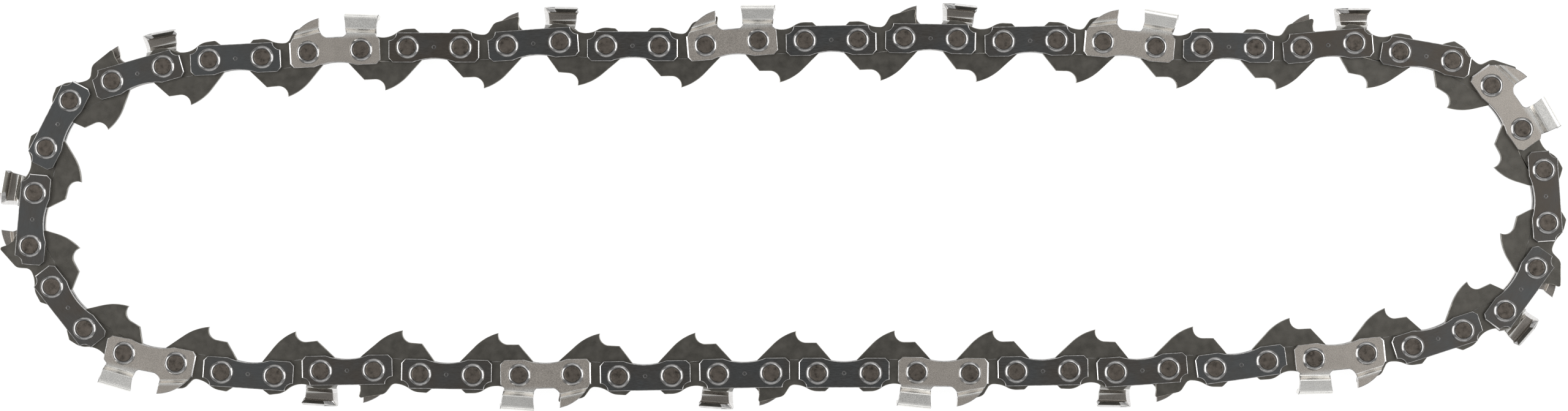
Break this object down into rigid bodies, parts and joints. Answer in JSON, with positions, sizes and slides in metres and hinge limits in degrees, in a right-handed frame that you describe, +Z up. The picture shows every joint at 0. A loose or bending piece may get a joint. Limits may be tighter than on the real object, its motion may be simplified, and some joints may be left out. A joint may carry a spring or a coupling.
{
  "type": "saw chain loop",
  "caption": "Closed loop of low-profile saw chain: hooked drive links on rivets between tie straps and cutters with depth gauges, lying flat.",
  "frame": {"origin": "on the surface that the chain lies on, under the middle of the loop's box", "axes": "+X along the loop's length, +Y across it, +Z up along the rivets, towards the side that the picture shows"},
  "size_m": [0.3008, 0.0784, 0.0063],
  "materials": {
    "strap_steel": "blued steel, satin, with bright worn edges",
    "cutter_plating": "satin hard plating, bright at the ground edges",
    "drive_steel": "dark matte heat-treated steel"
  },
  "bodies": {
    "far_cutter_link_01": {"far_cutter_link_01": "cutter_plating"},
    "drive_link_01": {"drive_link_01": "drive_steel"},
    "tie_link_02": {"tie_link_02": "strap_steel"},
    "bumper_link_02": {"bumper_link_02": "drive_steel"},
    "near_cutter_link_03": {"near_cutter_link_03": "cutter_plating"},
    "drive_link_03": {"drive_link_03": "drive_steel"},
    "tie_link_04": {"tie_link_04": "strap_steel"},
    "bumper_link_04": {"bumper_link_04": "drive_steel"},
    "far_cutter_link_05": {"far_cutter_link_05": "cutter_plating"},
    "drive_link_05": {"drive_link_05": "drive_steel"},
    "tie_link_06": {"tie_link_06": "strap_steel"},
    "bumper_link_06": {"bumper_link_06": "drive_steel"},
    "near_cutter_link_07": {"near_cutter_link_07": "cutter_plating"},
    "drive_link_07": {"drive_link_07": "drive_steel"},
    "top_middle_links": {"top_middle_links": "strap_steel"},
    "bumper_link_10": {"bumper_link_10": "drive_steel"},
    "near_cutter_link_11": {"near_cutter_link_11": "cutter_plating"},
    "drive_link_11": {"drive_link_11": "drive_steel"},
    "tie_link_12": {"tie_link_12": "strap_steel"},
    "bumper_link_12": {"bumper_link_12": "drive_steel"},
    "far_cutter_link_13": {"far_cutter_link_13": "cutter_plating"},
    "drive_link_13": {"drive_link_13": "drive_steel"},
    "tie_link_14": {"tie_link_14": "strap_steel"},
    "bumper_link_14": {"bumper_link_14": "drive_steel"},
    "near_cutter_link_15": {"near_cutter_link_15": "cutter_plating"},
    "drive_link_15": {"drive_link_15": "drive_steel"},
    "tie_link_16": {"tie_link_16": "strap_steel"},
    "bumper_link_16": {"bumper_link_16": "drive_steel"},
    "far_cutter_link_17": {"far_cutter_link_17": "cutter_plating"},
    "drive_link_17": {"drive_link_17": "drive_steel"},
    "tie_link_18": {"tie_link_18": "strap_steel"},
    "bumper_link_18": {"bumper_link_18": "drive_steel"},
    "near_cutter_link_19": {"near_cutter_link_19": "cutter_plating"},
    "drive_link_19": {"drive_link_19": "drive_steel"},
    "tie_link_20": {"tie_link_20": "strap_steel"},
    "bumper_link_20": {"bumper_link_20": "drive_steel"},
    "far_cutter_link_21": {"far_cutter_link_21": "cutter_plating"},
    "drive_link_21": {"drive_link_21": "drive_steel"},
    "tie_link_22": {"tie_link_22": "strap_steel"},
    "bumper_link_22": {"bumper_link_22": "drive_steel"},
    "near_cutter_link_23": {"near_cutter_link_23": "cutter_plating"},
    "drive_link_23": {"drive_link_23": "drive_steel"},
    "tie_link_24": {"tie_link_24": "strap_steel"},
    "bumper_link_24": {"bumper_link_24": "drive_steel"},
    "bottom_middle_links": {"bottom_middle_links": "strap_steel"},
    "drive_link_27": {"drive_link_27": "drive_steel"},
    "tie_link_28": {"tie_link_28": "strap_steel"},
    "bumper_link_28": {"bumper_link_28": "drive_steel"},
    "far_cutter_link_29": {"far_cutter_link_29": "cutter_plating"},
    "drive_link_29": {"drive_link_29": "drive_steel"},
    "tie_link_30": {"tie_link_30": "strap_steel"},
    "bumper_link_30": {"bumper_link_30": "drive_steel"},
    "near_cutter_link_31": {"near_cutter_link_31": "cutter_plating"},
    "drive_link_31": {"drive_link_31": "drive_steel"},
    "tie_link_32": {"tie_link_32": "strap_steel"},
    "bumper_link_32": {"bumper_link_32": "drive_steel"},
    "far_cutter_link_33": {"far_cutter_link_33": "cutter_plating"},
    "drive_link_33": {"drive_link_33": "drive_steel"},
    "tie_link_34": {"tie_link_34": "strap_steel"},
    "bumper_link_34": {"bumper_link_34": "drive_steel"}
  },
  "joints": [
    {"name": "pivot_20", "type": "hinge", "parent": "top_middle_links", "child": "bumper_link_10", "pos_m": [0.05255, 0.03187, 0.00314], "axis": [0, 0, 1], "range_deg": [-17, 23]},
    {"name": "pivot_21", "type": "hinge", "parent": "bumper_link_10", "child": "near_cutter_link_11", "pos_m": [0.06145, 0.03156, 0.00314], "axis": [0, 0, 1], "range_deg": [-23, 17]},
    {"name": "pivot_22", "type": "hinge", "parent": "near_cutter_link_11", "child": "drive_link_11", "pos_m": [0.07156, 0.03067, 0.00314], "axis": [0, 0, 1], "range_deg": [-19, 15]},
    {"name": "pivot_23", "type": "hinge", "parent": "drive_link_11", "child": "tie_link_12", "pos_m": [0.08046, 0.03067, 0.00314], "axis": [0, 0, 1], "range_deg": [-15, 19]},
    {"name": "pivot_24", "type": "hinge", "parent": "tie_link_12", "child": "bumper_link_12", "pos_m": [0.09061, 0.0305, 0.00314], "axis": [0, 0, 1], "range_deg": [-15, 19]},
    {"name": "pivot_25", "type": "hinge", "parent": "bumper_link_12", "child": "far_cutter_link_13", "pos_m": [0.09951, 0.0305, 0.00314], "axis": [0, 0, 1], "range_deg": [-19, 15]},
    {"name": "pivot_26", "type": "hinge", "parent": "far_cutter_link_13", "child": "drive_link_13", "pos_m": [0.10962, 0.03138, 0.00314], "axis": [0, 0, 1], "range_deg": [-18.9, 27]},
    {"name": "pivot_27", "type": "hinge", "parent": "drive_link_13", "child": "tie_link_14", "pos_m": [0.11835, 0.02968, 0.00314], "axis": [0, 0, 1], "range_deg": [-27, 18.9]},
    {"name": "pivot_28", "type": "hinge", "parent": "tie_link_14", "child": "bumper_link_14", "pos_m": [0.12835, 0.02794, 0.00314], "axis": [0, 0, 1], "range_deg": [-22.9, 22]},
    {"name": "pivot_29", "type": "hinge", "parent": "bumper_link_14", "child": "near_cutter_link_15", "pos_m": [0.1359, 0.02323, 0.00314], "axis": [0, 0, 1], "range_deg": [-22, 22.9]},
    {"name": "pivot_30", "type": "hinge", "parent": "near_cutter_link_15", "child": "drive_link_15", "pos_m": [0.14172, 0.01491, 0.00314], "axis": [0, 0, 1], "range_deg": [-35, 12]},
    {"name": "pivot_31", "type": "hinge", "parent": "drive_link_15", "child": "tie_link_16", "pos_m": [0.1459, 0.00705, 0.00314], "axis": [0, 0, 1], "range_deg": [-12, 35]},
    {"name": "pivot_32", "type": "hinge", "parent": "tie_link_16", "child": "bumper_link_16", "pos_m": [0.14661, -0.00307, 0.00314], "axis": [0, 0, 1], "range_deg": [-27, 23.1]},
    {"name": "pivot_33", "type": "hinge", "parent": "bumper_link_16", "child": "far_cutter_link_17", "pos_m": [0.14446, -0.01171, 0.00314], "axis": [0, 0, 1], "range_deg": [-23.1, 27]},
    {"name": "pivot_34", "type": "hinge", "parent": "far_cutter_link_17", "child": "drive_link_17", "pos_m": [0.1385, -0.01993, 0.00314], "axis": [0, 0, 1], "range_deg": [-7, 36]},
    {"name": "pivot_35", "type": "hinge", "parent": "drive_link_17", "child": "tie_link_18", "pos_m": [0.13044, -0.02369, 0.00314], "axis": [0, 0, 1], "range_deg": [-36, 7]},
    {"name": "pivot_36", "type": "hinge", "parent": "tie_link_18", "child": "bumper_link_18", "pos_m": [0.12078, -0.02683, 0.00314], "axis": [0, 0, 1], "range_deg": [-22, 28]},
    {"name": "pivot_37", "type": "hinge", "parent": "bumper_link_18", "child": "near_cutter_link_19", "pos_m": [0.11197, -0.02807, 0.00314], "axis": [0, 0, 1], "range_deg": [-28, 22]},
    {"name": "pivot_38", "type": "hinge", "parent": "near_cutter_link_19", "child": "drive_link_19", "pos_m": [0.10188, -0.02913, 0.00314], "axis": [0, 0, 1], "range_deg": [-15, 20]},
    {"name": "pivot_39", "type": "hinge", "parent": "drive_link_19", "child": "tie_link_20", "pos_m": [0.09299, -0.02959, 0.00314], "axis": [0, 0, 1], "range_deg": [-20, 15]},
    {"name": "pivot_40", "type": "hinge", "parent": "tie_link_20", "child": "bumper_link_20", "pos_m": [0.08294, -0.03101, 0.00314], "axis": [0, 0, 1], "range_deg": [-16, 25]},
    {"name": "pivot_41", "type": "hinge", "parent": "bumper_link_20", "child": "far_cutter_link_21", "pos_m": [0.07404, -0.03101, 0.00314], "axis": [0, 0, 1], "range_deg": [-25, 16]},
    {"name": "pivot_42", "type": "hinge", "parent": "far_cutter_link_21", "child": "drive_link_21", "pos_m": [0.06391, -0.03171, 0.00314], "axis": [0, 0, 1], "range_deg": [-17, 23]},
    {"name": "pivot_43", "type": "hinge", "parent": "drive_link_21", "child": "tie_link_22", "pos_m": [0.05502, -0.0314, 0.00314], "axis": [0, 0, 1], "range_deg": [-23, 17]},
    {"name": "pivot_44", "type": "hinge", "parent": "tie_link_22", "child": "bumper_link_22", "pos_m": [0.04487, -0.03158, 0.00314], "axis": [0, 0, 1], "range_deg": [-18, 18]},
    {"name": "pivot_45", "type": "hinge", "parent": "bumper_link_22", "child": "near_cutter_link_23", "pos_m": [0.03597, -0.03189, 0.00314], "axis": [0, 0, 1], "range_deg": [-18, 18]},
    {"name": "pivot_46", "type": "hinge", "parent": "near_cutter_link_23", "child": "drive_link_23", "pos_m": [0.02583, -0.03171, 0.00314], "axis": [0, 0, 1], "range_deg": [-16, 18]},
    {"name": "pivot_47", "type": "hinge", "parent": "drive_link_23", "child": "tie_link_24", "pos_m": [0.01693, -0.03187, 0.00314], "axis": [0, 0, 1], "range_deg": [-18, 16]},
    {"name": "pivot_48", "type": "hinge", "parent": "tie_link_24", "child": "bumper_link_24", "pos_m": [0.00678, -0.03187, 0.00314], "axis": [0, 0, 1], "range_deg": [-19, 15]},
    {"name": "pivot_49", "type": "hinge", "parent": "bumper_link_24", "child": "bottom_middle_links", "pos_m": [-0.00212, -0.03187, 0.00314], "axis": [0, 0, 1], "range_deg": [-15, 19]},
    {"name": "pivot_15", "type": "hinge", "parent": "top_middle_links", "child": "drive_link_07", "pos_m": [0.00432, 0.03185, 0.00314], "axis": [0, 0, 1], "range_deg": [-16, 25]},
    {"name": "pivot_14", "type": "hinge", "parent": "drive_link_07", "child": "near_cutter_link_07", "pos_m": [-0.00458, 0.03185, 0.00314], "axis": [0, 0, 1], "range_deg": [-25, 16]},
    {"name": "pivot_13", "type": "hinge", "parent": "near_cutter_link_07", "child": "bumper_link_06", "pos_m": [-0.01469, 0.03096, 0.00314], "axis": [0, 0, 1], "range_deg": [-16, 18]},
    {"name": "pivot_12", "type": "hinge", "parent": "bumper_link_06", "child": "tie_link_06", "pos_m": [-0.02359, 0.03081, 0.00314], "axis": [0, 0, 1], "range_deg": [-18, 16]},
    {"name": "pivot_11", "type": "hinge", "parent": "tie_link_06", "child": "drive_link_05", "pos_m": [-0.03374, 0.03081, 0.00314], "axis": [0, 0, 1], "range_deg": [-14, 24]},
    {"name": "pivot_10", "type": "hinge", "parent": "drive_link_05", "child": "far_cutter_link_05", "pos_m": [-0.0426, 0.03158, 0.00314], "axis": [0, 0, 1], "range_deg": [-24, 14]},
    {"name": "pivot_09", "type": "hinge", "parent": "far_cutter_link_05", "child": "bumper_link_04", "pos_m": [-0.05273, 0.03087, 0.00314], "axis": [0, 0, 1], "range_deg": [-18, 18]},
    {"name": "pivot_08", "type": "hinge", "parent": "bumper_link_04", "child": "tie_link_04", "pos_m": [-0.06162, 0.03056, 0.00314], "axis": [0, 0, 1], "range_deg": [-18, 18]},
    {"name": "pivot_07", "type": "hinge", "parent": "tie_link_04", "child": "drive_link_03", "pos_m": [-0.07177, 0.03056, 0.00314], "axis": [0, 0, 1], "range_deg": [-15, 20]},
    {"name": "pivot_06", "type": "hinge", "parent": "drive_link_03", "child": "near_cutter_link_03", "pos_m": [-0.08066, 0.0301, 0.00314], "axis": [0, 0, 1], "range_deg": [-20, 15]},
    {"name": "pivot_05", "type": "hinge", "parent": "near_cutter_link_03", "child": "bumper_link_02", "pos_m": [-0.0908, 0.02957, 0.00314], "axis": [0, 0, 1], "range_deg": [-23, 15]},
    {"name": "pivot_04", "type": "hinge", "parent": "bumper_link_02", "child": "tie_link_02", "pos_m": [-0.09965, 0.02864, 0.00314], "axis": [0, 0, 1], "range_deg": [-15, 23]},
    {"name": "pivot_03", "type": "hinge", "parent": "tie_link_02", "child": "drive_link_01", "pos_m": [-0.10978, 0.0281, 0.00314], "axis": [0, 0, 1], "range_deg": [-22, 28]},
    {"name": "pivot_02", "type": "hinge", "parent": "drive_link_01", "child": "far_cutter_link_01", "pos_m": [-0.1186, 0.02687, 0.00314], "axis": [0, 0, 1], "range_deg": [-28, 22]},
    {"name": "pivot_01", "type": "hinge", "parent": "far_cutter_link_01", "child": "bumper_link_34", "pos_m": [-0.12835, 0.02407, 0.00314], "axis": [0, 0, 1], "range_deg": [-7, 36]},
    {"name": "pivot_68", "type": "hinge", "parent": "bumper_link_34", "child": "tie_link_34", "pos_m": [-0.13642, 0.02031, 0.00314], "axis": [0, 0, 1], "range_deg": [-36, 7]},
    {"name": "pivot_67", "type": "hinge", "parent": "tie_link_34", "child": "drive_link_33", "pos_m": [-0.14103, 0.01126, 0.00314], "axis": [0, 0, 1], "range_deg": [-27, 23.1]},
    {"name": "pivot_66", "type": "hinge", "parent": "drive_link_33", "child": "far_cutter_link_33", "pos_m": [-0.14318, 0.00263, 0.00314], "axis": [0, 0, 1], "range_deg": [-23.1, 27]},
    {"name": "pivot_65", "type": "hinge", "parent": "far_cutter_link_33", "child": "bumper_link_32", "pos_m": [-0.14407, -0.00748, 0.00314], "axis": [0, 0, 1], "range_deg": [-35, 12]},
    {"name": "pivot_64", "type": "hinge", "parent": "bumper_link_32", "child": "tie_link_32", "pos_m": [-0.13989, -0.01534, 0.00314], "axis": [0, 0, 1], "range_deg": [-12, 35]},
    {"name": "pivot_63", "type": "hinge", "parent": "tie_link_32", "child": "drive_link_31", "pos_m": [-0.13364, -0.02334, 0.00314], "axis": [0, 0, 1], "range_deg": [-22.9, 22]},
    {"name": "pivot_62", "type": "hinge", "parent": "drive_link_31", "child": "near_cutter_link_31", "pos_m": [-0.12609, -0.02806, 0.00314], "axis": [0, 0, 1], "range_deg": [-22, 22.9]},
    {"name": "pivot_61", "type": "hinge", "parent": "near_cutter_link_31", "child": "bumper_link_30", "pos_m": [-0.11613, -0.02999, 0.00314], "axis": [0, 0, 1], "range_deg": [-18.9, 27]},
    {"name": "pivot_60", "type": "hinge", "parent": "bumper_link_30", "child": "tie_link_30", "pos_m": [-0.10739, -0.03169, 0.00314], "axis": [0, 0, 1], "range_deg": [-27, 18.9]},
    {"name": "pivot_59", "type": "hinge", "parent": "tie_link_30", "child": "drive_link_29", "pos_m": [-0.09727, -0.0324, 0.00314], "axis": [0, 0, 1], "range_deg": [-23, 15]},
    {"name": "pivot_58", "type": "hinge", "parent": "drive_link_29", "child": "far_cutter_link_29", "pos_m": [-0.08841, -0.03147, 0.00314], "axis": [0, 0, 1], "range_deg": [-15, 23]},
    {"name": "pivot_57", "type": "hinge", "parent": "far_cutter_link_29", "child": "bumper_link_28", "pos_m": [-0.07827, -0.03129, 0.00314], "axis": [0, 0, 1], "range_deg": [-14, 24]},
    {"name": "pivot_56", "type": "hinge", "parent": "bumper_link_28", "child": "tie_link_28", "pos_m": [-0.0694, -0.03207, 0.00314], "axis": [0, 0, 1], "range_deg": [-24, 14]},
    {"name": "pivot_55", "type": "hinge", "parent": "tie_link_28", "child": "drive_link_27", "pos_m": [-0.05925, -0.03224, 0.00314], "axis": [0, 0, 1], "range_deg": [-15, 19]}
  ],
  "couplings": [
    {"joint": "pivot_02", "follows": "pivot_03", "ratio": -1},
    {"joint": "pivot_36", "follows": "pivot_03", "ratio": 1},
    {"joint": "pivot_37", "follows": "pivot_03", "ratio": -1},
    {"joint": "pivot_04", "follows": "pivot_05", "ratio": -1},
    {"joint": "pivot_58", "follows": "pivot_05", "ratio": -1},
    {"joint": "pivot_59", "follows": "pivot_05", "ratio": 1},
    {"joint": "pivot_06", "follows": "pivot_07", "ratio": -1},
    {"joint": "pivot_38", "follows": "pivot_07", "ratio": 1},
    {"joint": "pivot_39", "follows": "pivot_07", "ratio": -1},
    {"joint": "pivot_08", "follows": "pivot_09", "ratio": -1},
    {"joint": "pivot_44", "follows": "pivot_09", "ratio": 1},
    {"joint": "pivot_45", "follows": "pivot_09", "ratio": -1},
    {"joint": "pivot_10", "follows": "pivot_11", "ratio": -1},
    {"joint": "pivot_56", "follows": "pivot_11", "ratio": -1},
    {"joint": "pivot_57", "follows": "pivot_11", "ratio": 1},
    {"joint": "pivot_12", "follows": "pivot_13", "ratio": -1},
    {"joint": "pivot_46", "follows": "pivot_13", "ratio": 1},
    {"joint": "pivot_47", "follows": "pivot_13", "ratio": -1},
    {"joint": "pivot_14", "follows": "pivot_15", "ratio": -1},
    {"joint": "pivot_40", "follows": "pivot_15", "ratio": 1},
    {"joint": "pivot_41", "follows": "pivot_15", "ratio": -1},
    {"joint": "pivot_21", "follows": "pivot_20", "ratio": -1},
    {"joint": "pivot_42", "follows": "pivot_20", "ratio": 1},
    {"joint": "pivot_43", "follows": "pivot_20", "ratio": -1},
    {"joint": "pivot_23", "follows": "pivot_22", "ratio": -1},
    {"joint": "pivot_48", "follows": "pivot_22", "ratio": 1},
    {"joint": "pivot_49", "follows": "pivot_22", "ratio": -1},
    {"joint": "pivot_25", "follows": "pivot_24", "ratio": -1},
    {"joint": "pivot_55", "follows": "pivot_24", "ratio": 1},
    {"joint": "pivot_27", "follows": "pivot_26", "ratio": -1},
    {"joint": "pivot_60", "follows": "pivot_26", "ratio": -1},
    {"joint": "pivot_61", "follows": "pivot_26", "ratio": 1},
    {"joint": "pivot_29", "follows": "pivot_28", "ratio": -1},
    {"joint": "pivot_62", "follows": "pivot_28", "ratio": -1},
    {"joint": "pivot_63", "follows": "pivot_28", "ratio": 1},
    {"joint": "pivot_31", "follows": "pivot_30", "ratio": -1},
    {"joint": "pivot_64", "follows": "pivot_30", "ratio": -1},
    {"joint": "pivot_65", "follows": "pivot_30", "ratio": 1},
    {"joint": "pivot_33", "follows": "pivot_32", "ratio": -1},
    {"joint": "pivot_66", "follows": "pivot_32", "ratio": -1},
    {"joint": "pivot_67", "follows": "pivot_32", "ratio": 1},
    {"joint": "pivot_35", "follows": "pivot_34", "ratio": -1},
    {"joint": "pivot_68", "follows": "pivot_34", "ratio": -1},
    {"joint": "pivot_01", "follows": "pivot_34", "ratio": 1}
  ]
}
